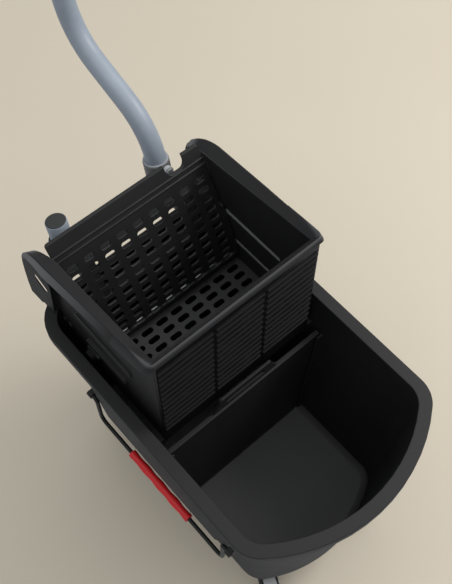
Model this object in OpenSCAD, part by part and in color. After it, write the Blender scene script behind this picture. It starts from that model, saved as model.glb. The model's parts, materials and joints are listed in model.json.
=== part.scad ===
// Double mop bucket trolley: a D-fronted bucket on four castors, split by a
// lift-out divider, with a jaw wringer that hooks over the back rim.
// X runs to the right, Y to the back, Z up. Inside the modules, y is measured
// from a datum across the bucket and z from the top face of its rim.

/* [Bucket] */
// Width over the rim
bucket_w = 310; // [290:1:340]
// Datum to the front of the rim
bucket_front = 291; // [280:1:310]
// Datum to the back of the rim
bucket_back = 189; // [182:1:205]
// Height of the underside above the floor
underside_h = 75; // [68:0.5:95]
// Depth inside, rim to bottom
bucket_depth = 278; // [260:1:290]
// Width inside at the bottom
floor_w = 228; // [218:1:240]
// Radius of the bowed front of the rim
front_r = 223; // [205:1:260]
// Width of the flat rim
rim_band = 17; // [14:0.5:20]
// Depth of the lip turned down from the rim
rim_lip = 14; // [10:0.5:18]
// Wall thickness of the bucket
wall = 3.5; // [3:0.1:4.5]

/* [Divider] */
// Datum to the middle of the divider
divider_y = -60; // [-66:0.5:-60]
// Drop from the rim to the top of the divider
divider_drop = 54; // [48:1:64]
// Thickness of the divider panel
divider_t = 4; // [3:0.1:5]
// Width of the lifting tab at its top
tab_w = 88; // [70:1:110]
// Height of the lifting tab
tab_h = 26; // [18:1:32]

/* [Wringer] */
// Gap between each cheek and the bucket's wall at the rim
wringer_gap = 17; // [14:0.5:22]
// Datum to the front face of the louvred wall
wringer_front = 46; // [42:0.5:48]
// Height of the front corners above the rim
wringer_top = 154; // [145:1:165]
// Drop from the rim to the bottom of the cheeks
wringer_drop = 55; // [50:1:60]
// Thickness of each cheek
cheek_t = 4.5; // [4:0.1:6]
// Width of the flange along the top of a cheek, at its front
flange_w = 10.7; // [9:0.1:13]
// How much wider the flange is at the tail
flange_splay = 6; // [3:0.1:8]
// Drop of the lip turned down from the flange
flange_lip = 14; // [10:0.5:16]
// Number of louvres in each column
louvre_rows = 13; // [8:1:13]
// Spacing of the louvres
louvre_pitch = 13; // [11:0.5:13]
// Drop from the rim to the top of the sieve floor
sieve_drop = 32; // [30:0.5:36]
// Rows of drain slots in the sieve floor
sieve_rows = 7; // [4:1:7]

/* [Press jaw] */
// Rows of drain slots in the jaw
jaw_rows = 10; // [6:1:10]
// Columns of drain slots in the jaw and the sieve
slot_columns = 9; // [6:1:9]
// Spacing of the slot columns
slot_pitch = 24.7; // [22:0.1:25]
// Thickness of the jaw plate, measured along y
jaw_t = 4.4; // [3.6:0.1:6]
// Gap between the jaw and each cheek
jaw_gap = 1.2; // [0.8:0.1:2]
// Length of a drain slot in the jaw
slot_l = 15; // [12:0.5:17]
// Height of a drain slot in the jaw
slot_h = 7; // [5:0.1:8]
// Spacing of the slot rows in the jaw
row_pitch = 12.6; // [11:0.1:14]
// Diameter of the pivot rod
rod_d = 10; // [8:0.5:12]

/* [Lever] */
// Diameter of the tube
tube_d = 27.5; // [24:0.5:29]
// Middle of the part to each tube socket
lever_x = 77; // [68:0.5:80]
// Backward lean of the sockets
lever_lean = 10; // [6:0.5:14]
// Bend radius of the tube
bend_r = 80; // [70:1:95]
// Slope of the run between the two bends
run_rise = 21; // [15:0.5:30]
// Length of the run between the two bends
run_l = 60; // [40:1:80]
// Length of the upright end, grip included
upright_l = 240; // [200:1:300]
// Slope of the upright end
upright_rise = 78; // [70:0.5:85]
// Length of the hand grip
grip_l = 118; // [90:1:130]

/* [Bails] */
// Diameter of the bail wire
wire_d = 5.4; // [5:0.1:6.5]
// Datum to the middle of each bail
bail_y = -74; // [-80:0.5:-70]
// Distance between the legs of a bail
bail_span = 240; // [230:1:246]
// Drop from the pivot to the hand run
bail_drop = 60; // [54:1:68]
// Diameter of the moulded grip
bail_grip_d = 11.6; // [10:0.1:14]
// Length of the moulded grip
bail_grip_l = 114; // [96:1:124]

/* [Castors] */
// Wheel diameter
wheel_d = 45; // [40:0.5:46]
// Wheel width
wheel_w = 18; // [15:0.5:20]
// Trail of the axle behind the swivel
trail = 20; // [18:0.5:22]
// Middle of the part to each swivel
castor_x = 86; // [76:0.5:90]
// Datum to the front swivels
castor_front = -204; // [-208:0.5:-190]
// Datum to the back swivels
castor_back = 112; // [100:0.5:118]
// Turn of the front wheels away from straight ahead, as they stand
castor_toe = 20; // [0:1:40]

/* [Hidden] */
$fn = 48;

// Clearances: a turning pin in its hole, two bodies that rest on each other,
// and an overlap that makes a cut or a joint clean
run_fit = 0.08;
rest_gap = 0.5;
eps = 0.01;

// Colours
black_plastic = [0.13, 0.13, 0.135];
dark_grey = [0.27, 0.28, 0.29];
mid_grey = [0.45, 0.45, 0.45];
light_grey = [0.72, 0.74, 0.75];
tube_blue_grey = [0.53, 0.57, 0.62];
steel = [0.62, 0.63, 0.65];
grip_red = [0.76, 0.16, 0.17];

// Bucket: the inside tapers from the rim to the bottom
bottom_t = 4;
rim_h = underside_h + bottom_t + bucket_depth;
floor_front = bucket_front - 43;
floor_back = bucket_back - 34;
floor_r = front_r - 33;
front_fillet = 42;
back_fillet = 55;
bevel = 9;

// Wringer
wringer_w = bucket_w - 2 * rim_band - 2 * wringer_gap;
cheek_out = wringer_w / 2;
cheek_in = cheek_out - cheek_t;
panel_t = 4;
front_in = -wringer_front + panel_t;
sieve_t = 4;
jaw_w = cheek_in - jaw_gap;

// Pivot of the jaw, above the sieve floor
barrel_r = rod_d / 2 + 4;
pivot = [bucket_back - 95, -sieve_drop + 3 + barrel_r];

// Jaw: a bent plate from its pivot to its top edge
jaw_foot = pivot + [-8.5, -2];
jaw_top = [bucket_back - 24.4, wringer_top - 17];
jaw_curve = bezier(jaw_foot, jaw_foot + [16, 53], jaw_top - [34, 50], jaw_top, 16);
first_row = wringer_top - 52.5;
columns = min(slot_columns, floor((2 * jaw_w - 6) / slot_pitch));

// Tube sockets: the middle of the collar's upper face, then distances down
// the leaning axis from there
socket_top = [bucket_back + 14.2, wringer_top - 48.2];
collar_l = 25;
tube_wall = 1.5;
socket_l = 64;
socket_r = tube_d / 2 + 3.5;
post_top = 2;
lean_along = [sin(lever_lean), cos(lever_lean)];

// Lever: up from the collar, bent back, then bent upright
lever_start = socket_top + 4 * lean_along;
bend_a = lever_start + bend_r * [cos(lever_lean), -sin(lever_lean)];
run_start = bend_a + bend_r * [-sin(run_rise), cos(run_rise)];
run_end = run_start + run_l * [cos(run_rise), sin(run_rise)];
bend_b = run_end + bend_r * [-sin(run_rise), cos(run_rise)];
upright_start = bend_b + bend_r * [sin(upright_rise), -cos(upright_rise)];
upright_along = [cos(upright_rise), sin(upright_rise)];
lever_end = upright_start + upright_l * upright_along;
grip_r = tube_d / 2 + 3.5;

// Bails
bail_x = bucket_w / 2 + 1.5;
bail_z = -35;
skirt_drop = 62;
skirt_t = 3;
lug_gap = 7.5;
lug_l = 8;
lug_r = wire_d / 2 + 1.8;

// Castors: from the floor up to the bosses under the bucket
axle_r = 4;
axle_z = wheel_d / 2 - rim_h;
crown_t = 6;
crown_z = wheel_d + 3 - rim_h;
stem_r = 5.5;
boss_z = crown_z + crown_t + 1.5;
bottom_z = -bucket_depth - bottom_t;
leg_in = wheel_w / 2 + 0.8;
leg_out = leg_in + 3.2;

// The origin stands on the floor, half way along the part
grip_round = 6;
back_end = lever_end[0] + (grip_r - grip_round) * sin(upright_rise) - grip_round * cos(upright_rise) + grip_round;
y_origin = (back_end - bucket_front) / 2;

// Point t of the way from a to b
function blend(a, b, t) = a + (b - a) * t;

// Points along a cubic curve
function bezier(a, b, c, d, n) = [for (i = [0:n]) let (t = i / n, s = 1 - t)
    s * s * s * a + 3 * s * s * t * b + 3 * s * t * t * c + t * t * t * d];

// A line moved sideways by d, to the right of the way it runs
function inset(line, d) = [for (i = [0:len(line) - 1])
    let (a = line[max(i - 1, 0)], b = line[min(i + 1, len(line) - 1)], along = (b - a) / norm(b - a))
    line[i] + d * [along[1], -along[0]]];

// Middles of a line's segments
function midway(line) = [for (i = [0:len(line) - 2]) blend(line[i], line[i + 1], 0.5)];

function shifted(line, by) = [for (p = line) p + by];
function reversed(line) = [for (i = [len(line) - 1:-1:0]) line[i]];

// Arc of points round a centre
function arc(centre, r, from, to, n) = [for (i = [0:n]) let (a = blend(from, to, i / n))
    centre + r * [cos(a), sin(a)]];

// D-shaped outline: straight sides, bowed front, rounded corners
function d_outline(half_w, front, back, bow_r, front_f, back_f) =
    let (bow = [0, -front + bow_r],
         fillet_x = half_w - front_f,
         fillet = [fillet_x, bow[1] - sqrt(pow(bow_r - front_f, 2) - fillet_x * fillet_x)],
         meet = atan2(fillet[1] - bow[1], fillet[0]))
    concat(
        arc(bow, bow_r, -180 - meet, meet, 14),
        arc(fillet, front_f, meet, 0, 7),
        arc([half_w - back_f, back - back_f], back_f, 0, 90, 8),
        arc([back_f - half_w, back - back_f], back_f, 90, 180, 8),
        arc([-fillet_x, fillet[1]], front_f, 180, 180 - meet, 7));

// Outline of the bucket's inside at height z, made wider by grow
function inside(z, grow) = let (t = -z / bucket_depth) d_outline(
    blend(bucket_w / 2 - rim_band, floor_w / 2, t) + grow,
    blend(bucket_front - rim_band, floor_front, t) + grow,
    blend(bucket_back - rim_band, floor_back, t) + grow,
    blend(front_r - rim_band, floor_r, t) + grow,
    blend(front_fillet - 8, front_fillet - 10, t) + grow,
    blend(back_fillet - rim_band, back_fillet - 20, t) + grow);

// Inside half-width at height z
function half_inside(z) = blend(bucket_w / 2 - rim_band, floor_w / 2, -z / bucket_depth);

// Outline of the rim, made smaller by less
function rim(less) = d_outline(bucket_w / 2 - less, bucket_front - less, bucket_back - less,
    front_r - less, front_fillet - less / 2, back_fillet - less);

// From the working frame to the part's own frame
module placed() translate([0, -y_origin, rim_h]) children();

// Both sides of the part
module both_sides() { children(); mirror([1, 0, 0]) children(); }

// A profile in y and z, extruded along x
module along_x(from, to) translate([from, 0, 0]) rotate([90, 0, 90]) linear_extrude(to - from) children();

// A profile in x and z, extruded along y
module along_y(from, to) translate([0, to, 0]) rotate([90, 0, 0]) linear_extrude(to - from) children();

// A thin sheet with an outline, at height z
module sheet(z, outline) translate([0, 0, z]) linear_extrude(0.02) polygon(outline);

// A flat slot with round ends, l long over all, to the nearest hundredth
module pill(l, w) {
    wide = round(w * 50) / 50;
    run = round((l - wide) * 50) / 50;
    square([run, wide], center = true);
    for (s = [-1, 1]) translate([s * run / 2, 0]) circle(wide / 2);
}

// A round rod along x
module rod_x(from, to, r, at) translate([from, at[0], at[1]]) rotate([0, 90, 0]) cylinder(h = to - from, r = r);

// Part of a bent round bar, in the plane of y and z
module bend_yz(x, centre, bend, r, from, to)
    translate([x, centre[0], centre[1]]) rotate([90, 0, 90]) rotate([0, 0, from])
        rotate_extrude(angle = to - from) translate([bend, 0]) circle(r);

// A straight round bar in the plane of y and z, from a by l towards angle
module bar_yz(x, a, angle, l, r)
    translate([x, a[0], a[1]]) rotate([angle - 90, 0, 0]) cylinder(h = l, r = r);

// Bucket

module bucket_walls() {
    difference() {
        hull() {
            sheet(-0.02, inside(0, wall));
            sheet(-bucket_depth + bevel, inside(-bucket_depth + bevel, wall));
            sheet(bottom_z, inside(-bucket_depth, wall - bevel));
        }
        hull() {
            sheet(1, inside(1, 0));
            sheet(-bucket_depth + bevel, inside(-bucket_depth + bevel, 0));
            sheet(-bucket_depth, inside(-bucket_depth, -bevel));
        }
    }
}

module bucket_rim() {
    // Flat band, then the lip turned down at its edge
    translate([0, 0, -4]) linear_extrude(4) difference() {
        polygon(rim(0));
        polygon(inside(0, wall / 2));
    }
    translate([0, 0, -rim_lip]) linear_extrude(rim_lip) difference() {
        polygon(rim(0));
        polygon(rim(3));
    }
}

module bail_skirt() {
    // Drop panel framed by the bail, with two webs back to the wall
    top = bail_span / 2 + 17;
    foot = bail_span / 2 - 16;
    along_x(bucket_w / 2 - skirt_t, bucket_w / 2) translate([bail_y, 0])
        polygon([[-top, -1], [-foot, -skirt_drop], [foot, -skirt_drop], [top, -1]]);
    for (s = [-1, 1]) along_y(bail_y + s * 85 - 2, bail_y + s * 85 + 2)
        polygon([[half_inside(0) + 1, -1], [bucket_w / 2 - 1, -1], [bucket_w / 2 - 1, -skirt_drop],
                 [half_inside(-skirt_drop) + 1, -skirt_drop]]);
}

module bail_lugs() {
    for (s = [-1, 1]) {
        near = bail_y + s * (bail_span / 2 + lug_gap);
        far = near + s * lug_l;
        along_y(min(near, far), max(near, far)) difference() {
            union() {
                polygon([[half_inside(-45) + 1, bail_z + 9], [bail_x, bail_z + lug_r - 0.4],
                         [bail_x, bail_z - lug_r + 0.4], [half_inside(-45) + 1, bail_z - 9]]);
                translate([bail_x, bail_z]) circle(lug_r);
            }
            translate([bail_x, bail_z]) circle(wire_d / 2 + run_fit);
        }
    }
}

module divider_guides() {
    // A pair of ribs on the side wall, and a bracket for the wringer's corner
    top = -divider_drop - 8;
    foot = -bucket_depth + bevel;
    for (s = [-1, 1]) {
        edge = divider_y + s * (divider_t / 2 + 0.6);
        along_y(min(edge, edge + 3.5 * s), max(edge, edge + 3.5 * s))
            polygon([[half_inside(top) + 1, top], [half_inside(top) - 9, top], [half_inside(foot) - 9, foot],
                     [half_inside(foot) + 1, foot]]);
    }
    shelf = -wringer_drop - rest_gap;
    along_y(front_in - 1, front_in + 20)
        polygon([[half_inside(shelf) + 1, shelf], [cheek_in - 4, shelf], [cheek_in - 4, shelf - 5],
                 [half_inside(shelf - 34) + 1, shelf - 34]]);
}

module castor_spots() {
    for (x = [-castor_x, castor_x], y = [castor_front, castor_back]) translate([x, y, 0]) children();
}

module bucket_shell() color(black_plastic) placed() difference() {
    union() {
        bucket_walls();
        bucket_rim();
        both_sides() { bail_skirt(); bail_lugs(); divider_guides(); }
        castor_spots() translate([0, 0, boss_z]) cylinder(h = bottom_z + 2 - boss_z, r = 17);
    }
    castor_spots() translate([0, 0, boss_z - 1]) cylinder(h = bottom_z - boss_z, r = stem_r);
}

module divider_panel() color(black_plastic) placed() {
    top = -divider_drop;
    foot = -bucket_depth + rest_gap;
    turn = foot + bevel;
    side = 4.6;
    along_y(divider_y - divider_t / 2, divider_y + divider_t / 2)
        polygon([[half_inside(top) - side, top], [half_inside(turn) - side, turn],
                 [half_inside(foot) - side - bevel, foot], [-half_inside(foot) + side + bevel, foot],
                 [-half_inside(turn) + side, turn], [-half_inside(top) + side, top]]);
    // Hem along the top edge
    along_y(divider_y - divider_t / 2 - 1.5, divider_y + divider_t / 2 + 1.5)
        translate([0, top - 3]) square([2 * half_inside(top) - 2 * side, 6], center = true);
    // Lifting tab over the middle
    along_y(divider_y - 0.5, divider_y + divider_t / 2 + 1.5) difference() {
        union() {
            polygon([[-tab_w / 2 - 11, top - 1], [tab_w / 2 + 11, top - 1], [tab_w / 2 - 1, top + tab_h - 5],
                     [1 - tab_w / 2, top + tab_h - 5]]);
            translate([0, top + tab_h - 5]) pill(tab_w, 10);
        }
        translate([0, top + tab_h / 2]) pill(tab_w - 22, tab_h / 3);
    }
}

// Wringer

// Crest of a cheek's flange, in y and z, from its front corner to the tail
crest_front = [front_in + rest_gap + 1.7, wringer_top + 5.5];
tail_start = [bucket_back - 43, wringer_top - 15.8];
tail_end = [bucket_back + 12.5, wringer_top - 57];
crest = concat(
    [crest_front, blend(crest_front, tail_start, 0.5)],
    bezier(tail_start, tail_start + [24, -3], tail_end + [-9, 19], tail_end, 9));

// Along the crest, 0 until the tail and 1 at its end
function tail_part(y) = max(0, min(1, (y - tail_start[0]) / (tail_end[0] - tail_start[0])));

module cheek_web() {
    // Its upper edge runs inside the flange
    upper = [for (p = midway(inset(crest, 8.3))) if (p[0] > front_in + 10 && p[0] < bucket_back - 24) p];
    polygon(concat(
        [[front_in, -wringer_drop], [front_in, wringer_top - 6.5], [front_in + 1.4, wringer_top - 3]],
        upper,
        [[bucket_back - 21, wringer_top - 42], [bucket_back - 24, rest_gap], [bucket_back - 27, rest_gap],
         [bucket_back - 31, -12], [bucket_back - 41, -wringer_drop + 8], [bucket_back - 49, -wringer_drop]]));
}

// Tail panel, outside the web: it hangs from the flange and hooks over the rim
hook_x = cheek_out + 6.2;
hook_t = 4;

module tail_panel() difference() {
    polygon(concat(
        [[bucket_back - 28, 0.8], [bucket_back - 38, 70]],
        [for (p = midway(inset(crest, 3.4))) if (p[0] > bucket_back - 46 && p[0] < tail_end[0] - 4) p],
        [tail_end + [2.2, -3.6], [bucket_back + 18.5, 84], [bucket_back + 22.5, 66], [bucket_back + 25, 42],
         [bucket_back + 26.5, 14], [bucket_back + 26, 5 - rim_lip], [bucket_back - 0.5, -6],
         [bucket_back - 2.5, 0.8]]));
    // Finger slot above the hook
    translate([bucket_back - 15.5, 62]) rotate(28) pill(27, 8.4);
}

// Band along the edge, lower on its inner side, with a lip outside its crest
module cheek_flange() {
    thick = 5;
    n = len(crest);
    points = [for (i = [0:n - 1])
        let (tail = tail_part(crest[i][0]),
             way = (crest[i][0] - crest[0][0]) / (tail_start[0] - crest[0][0]),
             drop = blend(8, 4, tail),
             lip = inset(crest, blend(flange_lip, 5, tail * tail))[i],
             inner = inset(crest, drop)[i],
             below = inset(crest, drop + thick)[i],
             under = inset(crest, thick)[i],
             x = cheek_in + flange_w + flange_splay * min(1, way) - 1.5 * tail,
             x_in = cheek_in - 0.6 + 5 * tail)
        each [[x, crest[i][0], crest[i][1]], [x + blend(6, 2.5, tail), lip[0], lip[1]],
              [x + blend(2.8, 0.6, tail), lip[0], lip[1]], [x - 0.8, under[0], under[1]],
              [x_in, below[0], below[1]], [x_in, inner[0], inner[1]]]];
    sides = [for (i = [0:n - 2], k = [0:5]) let (a = 6 * i + k, b = 6 * i + (k + 1) % 6, c = b + 6, d = a + 6)
        each [[a, c, b], [a, d, c]]];
    last = 6 * (n - 1);
    caps = [[0, 1, 2], [0, 2, 3], [0, 3, 5], [3, 4, 5]];
    polyhedron(points, concat(sides, caps, [for (f = caps) [last + f[2], last + f[1], last + f[0]]]));
}

// Guide groove pressed out of the cheek, [start, end, height, half height]
grooves = [[pivot[0] - 85, pivot[0] + 20, wringer_top - 102, 4],
           [pivot[0] - 68, pivot[0] + 6, wringer_top - 150, 3.5]];

module groove(g, grow) translate([(g[0] + g[1]) / 2, g[2]]) pill(g[1] - g[0] + 2 * grow, 2 * (g[3] + grow));

module cheek() difference() {
    union() {
        along_x(cheek_in, cheek_out) cheek_web();
        cheek_flange();
        along_x(hook_x, hook_x + hook_t) tail_panel();
        // Rib between the web and the tail panel
        translate([cheek_in + 1, bucket_back - 29, 6]) cube([hook_x + 1 - cheek_in - 1, 4, wringer_top - 46]);
        for (g = grooves) along_x(cheek_out - eps, cheek_out + 3.5) groove(g, 2.5);
        rod_x(cheek_out - eps, cheek_out + 3.5, rod_d / 2 + 7, pivot);
        // Stop that the jaw leans back on
        along_x(cheek_in - 10, cheek_in + eps) jaw_stop();
    }
    for (g = grooves) along_x(cheek_in - 1, cheek_out + 0.5) groove(g, 0);
    rod_x(cheek_in - 20, cheek_out + 10, rod_d / 2, pivot);
    for (at = beam_screw_spots) rod_x(cheek_in - 1, cheek_out + 1, screw_r, at);
}

// Back face of the jaw at height z
function jaw_back(z) = lookup(z, [for (p = jaw_curve) [p[1], p[0]]]) + jaw_t;

module jaw_stop() {
    low = wringer_top - 96;
    high = wringer_top - 62;
    polygon([[jaw_back(low) + rest_gap, low], [jaw_back(high) + rest_gap, high],
             [jaw_back(high) + 9, high], [jaw_back(low) + 9, low]]);
}

// Rear beam and the screws through the cheeks into its ends
beam_y = [bucket_back - 51, bucket_back - 29];
beam_z = [-34, -8];
screw_r = 2.2;
beam_screw_spots = [for (y = [beam_y[0] + 5, beam_y[1] - 5]) [y, beam_z[1] - 4.5]];

module left_cheek() color(black_plastic) placed() mirror([1, 0, 0]) cheek();
module right_cheek() color(black_plastic) placed() cheek();

module rear_beam() color(black_plastic) placed() difference() {
    along_x(-cheek_in, cheek_in) difference() {
        polygon([[beam_y[0], beam_z[0]], [beam_y[0], beam_z[1]], [beam_y[1], beam_z[1]], [beam_y[1], beam_z[0]]]);
        translate([beam_y[0] + 3, beam_z[0] - 1]) square([beam_y[1] - beam_y[0] - 6, beam_z[1] - beam_z[0] - 8]);
    }
    for (at = beam_screw_spots) both_sides() rod_x(cheek_in - 14, cheek_in + 1, screw_r, at);
}

module beam_screws() color(steel) placed() both_sides() for (at = beam_screw_spots) {
    rod_x(cheek_in - 13, cheek_out + 0.5, screw_r, at);
    rod_x(cheek_out, cheek_out + 2.4, 2 * screw_r, at);
}

// Front wall: three columns of louvres that shed water into the bucket
louvre_gap = 5;
louvre_slot = 3;
louvre_w = (wringer_w - 18 - 2 * louvre_gap) / 3;
first_louvre = -wringer_drop + 32;

module louvre_columns() for (c = [-1:1]) translate([c * (louvre_w + louvre_gap), 0]) children();

module louvre_front() color(black_plastic) placed() {
    difference() {
        along_y(-wringer_front, front_in) translate([-cheek_out, -wringer_drop])
            square([wringer_w, wringer_top + wringer_drop - 2]);
        along_y(-wringer_front - 1, front_in + 1) louvre_columns() for (i = [0:louvre_rows - 1])
            translate([0, first_louvre + i * louvre_pitch + 5.5]) square([louvre_w, louvre_slot], center = true);
    }
    louvre_columns() for (i = [0:louvre_rows - 1])
        along_x(-louvre_w / 2, louvre_w / 2) translate([0, first_louvre + i * louvre_pitch])
            polygon([[-wringer_front + 1, 2.6], [-wringer_front - 2.2, 1], [-wringer_front - 2.2, -0.4],
                     [-wringer_front + 1, -4.2]]);
    // Rail round the top, with rounded corners, then a slope into the chamber
    hull() {
        translate([0, 0, wringer_top + 4.48]) linear_extrude(0.02)
            rail_plan(cheek_in + flange_w, wringer_front - 2, 1.5);
        translate([0, 0, wringer_top - 2]) linear_extrude(0.02)
            rail_plan(cheek_in + flange_w + 2.8, wringer_front + 1.5, 5);
    }
    along_x(-cheek_in + 1.2, cheek_in - 1.2)
        polygon([[front_in - 3, wringer_top - 3], [front_in - 1.6, wringer_top + 3.4],
                 [front_in - 0.6, wringer_top + 3.4],
                 [front_in + 7, wringer_top - 3.5], [front_in + 7, wringer_top - 7]]);
}

// Plan of the rail: half width, distance in front of the datum, corner radius
module rail_plan(half_w, front, corner) {
    back = front_in - 0.3;
    polygon(concat([[half_w, back], [-half_w, back]],
                   arc([corner - half_w, corner - front], corner, 180, 270, 5),
                   arc([half_w - corner, corner - front], corner, 270, 360, 5)));
}

module slot_row(l, w) for (c = [0:columns - 1])
    translate([(c - (columns - 1) / 2) * slot_pitch, 0]) pill(l, w);

module sieve_floor() color(black_plastic) placed() {
    last_row = pivot[0] - 30.3;
    row_gap = 14.5;
    back = pivot[0] - 21.5;
    translate([0, 0, -sieve_drop - sieve_t]) linear_extrude(sieve_t) difference() {
        translate([-cheek_in, front_in]) square([2 * cheek_in, back - front_in]);
        for (i = [0:sieve_rows - 1]) translate([0, last_row - i * row_gap]) slot_row(17.5, 8);
    }
    // Ribs under the sieve
    for (y = [front_in, back - 4]) translate([-cheek_in, y, -sieve_drop - sieve_t - 8])
        cube([2 * cheek_in, 4, 8 + eps]);
}

module pivot_rod() color(steel) placed() rod_x(-cheek_out - 8, cheek_out + 8, rod_d / 2, pivot);

module rod_caps() color(dark_grey) placed() both_sides() difference() {
    union() {
        rod_x(cheek_out + 3.5, cheek_out + 7, rod_d / 2 + 4, pivot);
        rod_x(cheek_out + 7 - eps, cheek_out + 10, rod_d / 2 + 2.5, pivot);
    }
    rod_x(cheek_out, cheek_out + 8, rod_d / 2, pivot);
}

// Press jaw

module press_jaw() color(black_plastic) placed() difference() {
    union() {
        along_x(-jaw_w, jaw_w) polygon(concat(jaw_curve, reversed(shifted(jaw_curve, [jaw_t, 0]))));
        rod_x(-jaw_w, jaw_w, barrel_r, pivot);
        // Two beads under the plain top band
        for (down = [15.3, 21.8]) let (z = jaw_top[1] - down)
            rod_x(-jaw_w, jaw_w, 1.3, [jaw_back(z) - jaw_t, z]);
        // Lips along the lower side edges
        both_sides() along_x(jaw_w - 4, jaw_w) jaw_lip();
    }
    rod_x(-jaw_w - 1, jaw_w + 1, rod_d / 2 + run_fit, pivot);
    for (i = [0:jaw_rows - 1]) along_y(pivot[0] - 40, pivot[0] + 80)
        translate([0, first_row - i * row_pitch]) slot_row(slot_l, slot_h);
    // Notch in front of the lever's collar
    along_y(jaw_top[0] - 20, jaw_top[0] + 20) translate([lever_x - 1.7, jaw_top[1]]) union() {
        translate([-14.2, -4]) square([28.4, 6]);
        translate([0, -4]) pill(28.4, 18);
    }
}

module jaw_lip() {
    edge = [for (i = [1:8]) jaw_curve[i]];
    polygon(concat(edge, reversed(shifted(edge, [-5, 0]))));
    translate(jaw_curve[8] - [0.5, 0]) circle(5);
}

// Two sockets on webs, and the bar that joins them, fixed behind the jaw
yoke_w = cheek_in - 12;
yoke_bar = [bucket_back - 39, wringer_top - 81];

module press_yoke() color(black_plastic) placed() difference() {
    low = wringer_top - 110;
    high = wringer_top - 62;
    union() {
        for (s = [-1, 1]) {
            along_x(s * lever_x - 7, s * lever_x + 7)
                polygon(concat([for (z = [low:12:high]) [jaw_back(z), z]],
                               [socket_axis(collar_l + 3), socket_axis(socket_l - 3)]));
            socket_tube(s, collar_l, socket_l, socket_r);
        }
        along_x(-yoke_w, yoke_w) translate(yoke_bar) square([15, 11]);
    }
    for (s = [-1, 1]) socket_tube(s, collar_l - 1, socket_l - 4, tube_d / 2);
}

// Point on the sockets' axis, this far below the collar's upper face
function socket_axis(down) = socket_top - down * lean_along;

// Round bar on a socket's axis, between two distances below the collar's top
module socket_tube(side, from, to, r)
    bar_yz(side * lever_x, socket_axis(to), 90 - lever_lean, to - from, r);

module hollow_post(side, from, to) difference() {
    socket_tube(side, from, to, tube_d / 2);
    socket_tube(side, from - 1, to + 1, tube_d / 2 - tube_wall);
}

module spare_post() color(tube_blue_grey) placed() hollow_post(-1, post_top + 2, socket_l - 4);

module post_cap() color(dark_grey) placed() {
    socket_tube(-1, post_top - 1, post_top + 2, tube_d / 2);
    socket_tube(-1, post_top - 2, post_top - 1 + eps, tube_d / 2 - 1.2);
    socket_tube(-1, post_top + 2 - eps, post_top + 14, tube_d / 2 - tube_wall);
}

module lever_collar() color(mid_grey) placed() difference() {
    socket_tube(1, 2, collar_l, socket_r);
    socket_tube(1, -1, collar_l + 1, tube_d / 2);
    lock_bore(2.5);
}

module collar_ring() color(light_grey) placed() difference() {
    socket_tube(1, 0, 2, socket_r - 0.6);
    socket_tube(1, -1, 3, tube_d / 2);
}

// Bar square to the lever's foot, on the front of the collar
module lock_bore(r, from = 0, to = socket_r + 4)
    translate([lever_x + 2, socket_axis(11)[0], socket_axis(11)[1]])
        rotate([90 - lever_lean, 0, 0]) translate([0, 0, from]) cylinder(h = to - from, r = r);

module lever_lock() color(light_grey) placed() {
    lock_bore(2.5, tube_d / 2 + 0.3, socket_r + 1);
    lock_bore(7, socket_r + 0.2, socket_r + 6);
    lock_bore(5.5, socket_r + 6 - eps, socket_r + 8);
}

// The lever's course: points in y and z, each with the slope of the tube there
bend_steps = 7;
lever_course = concat(
    [[socket_axis(socket_l - 4), 90 - lever_lean]],
    [for (i = [0:bend_steps]) let (a = blend(lever_lean, 90 - run_rise, i / bend_steps))
        [bend_a + bend_r * [-cos(a), sin(a)], 90 - a]],
    [for (i = [0:bend_steps]) let (a = blend(run_rise, upright_rise, i / bend_steps))
        [bend_b + bend_r * [sin(a), -cos(a)], a]],
    [[lever_end - 4 * upright_along, upright_rise]]);

// Ring of points round one place on the course
function tube_ring(place, r, sides) = [for (k = [0:sides - 1]) let (a = 360 * k / sides)
    [lever_x + r * cos(a), place[0][0] - r * sin(a) * sin(place[1]), place[0][1] + r * sin(a) * cos(place[1])]];

module lever_tube() color(tube_blue_grey) placed() {
    sides = 28;
    rings = len(lever_course);
    skin = rings * sides;
    points = [for (r = [tube_d / 2, tube_d / 2 - tube_wall], place = lever_course) each tube_ring(place, r, sides)];
    // The outer skin, the inner one turned inside out, and a ring at each end
    faces = [for (i = [0:rings - 2], k = [0:sides - 1])
        let (a = i * sides + k, b = i * sides + (k + 1) % sides, c = b + sides, d = a + sides)
        each [[a, b, c, d], [d + skin, c + skin, b + skin, a + skin]]];
    ends = [for (k = [0:sides - 1]) let (next = (k + 1) % sides, top = (rings - 1) * sides)
        each [[k, k + skin, next + skin, next], [top + next, top + next + skin, top + k + skin, top + k]]];
    polyhedron(points, concat(faces, ends));
}

module lever_grip() color(dark_grey) placed()
    translate([lever_x, lever_end[0], lever_end[1]]) rotate([upright_rise - 90, 0, 0]) rotate_extrude()
        polygon(concat(
            [[tube_d / 2, -grip_l], [grip_r + 2, -grip_l]],
            [for (i = [1:12]) [grip_r + 0.8 * cos(30 * i), -grip_l + 4 + i * (grip_l - 16) / 13]],
            arc([grip_r - grip_round, -grip_round], grip_round, 0, 90, 4),
            [[0, 0], [0, -4], [tube_d / 2, -4]]));

// Bails

module bail_wire(side) color([0.07, 0.07, 0.07]) placed() {
    r = wire_d / 2;
    knee = 6;
    corner = 12;
    half = bail_span / 2;
    run_z = bail_z - bail_drop;
    x = side * bail_x;
    for (s = [-1, 1]) translate([0, bail_y, 0]) mirror([0, s < 0 ? 1 : 0, 0]) {
        bar_yz(x, [half + knee, bail_z], 0, lug_gap - knee + lug_l - 1, r);
        bend_yz(x, [half + knee, bail_z - knee], knee, r, 90, 180);
        bar_yz(x, [half, run_z + corner], 90, bail_drop - knee - corner, r);
        bend_yz(x, [half - corner, run_z + corner], corner, r, -90, 0);
        bar_yz(x, [0, run_z], 0, half - corner, r);
    }
}

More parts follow.
